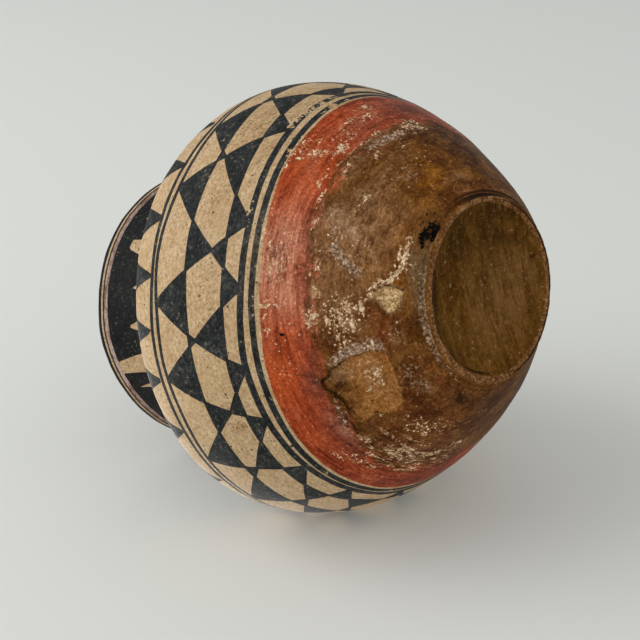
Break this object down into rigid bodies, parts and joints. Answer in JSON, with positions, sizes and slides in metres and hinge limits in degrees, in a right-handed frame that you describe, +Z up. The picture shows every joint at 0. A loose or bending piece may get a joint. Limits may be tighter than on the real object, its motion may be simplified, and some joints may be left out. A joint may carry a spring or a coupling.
{
  "type": "polychrome pottery jar",
  "caption": "Round-bellied, hollow fired-clay jar with a low foot ring, a hollowed base and a flared neck, painted with a black and cream lattice over a red-brown lower body.",
  "frame": {"origin": "on the jar's axis, on the plane that the foot ring stands on", "axes": "+Z up the axis to the mouth, +X towards the spalled patch on the lower body"},
  "size_m": [0.2796, 0.28, 0.274],
  "materials": {
    "painted_earthenware": "stone-polished slip with matt black paint, worn and scuffed"
  },
  "bodies": {
    "root": {"jar": "painted_earthenware"}
  },
  "joints": []
}
